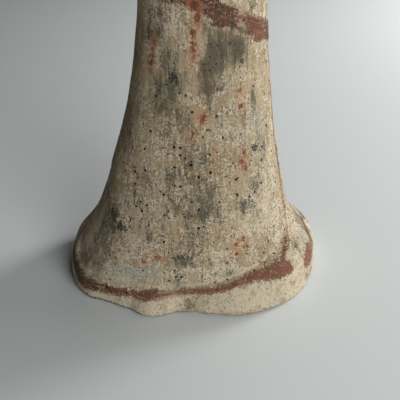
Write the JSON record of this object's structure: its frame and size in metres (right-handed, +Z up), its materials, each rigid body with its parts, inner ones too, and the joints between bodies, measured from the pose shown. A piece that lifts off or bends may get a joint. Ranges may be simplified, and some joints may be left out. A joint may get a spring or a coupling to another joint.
{
  "type": "tomb figurine",
  "caption": "Hollow fired clay tomb figurine of a standing attendant in a wrapped robe, hands joined in full sleeves, on a spreading lobed hem.",
  "frame": {"origin": "middle of the outline, on the flat rim that the figurine stands on", "axes": "+Z up; -Y is the way the figure faces; +X is to the right of someone looking at its face"},
  "size_m": [0.1511, 0.109, 0.4496],
  "materials": {
    "painted_slip": "matt cream slip over grey fired clay, with red painted hems, grey and black burial stains and small pits"
  },
  "bodies": {
    "root": {"figurine": "painted_slip"}
  },
  "joints": []
}
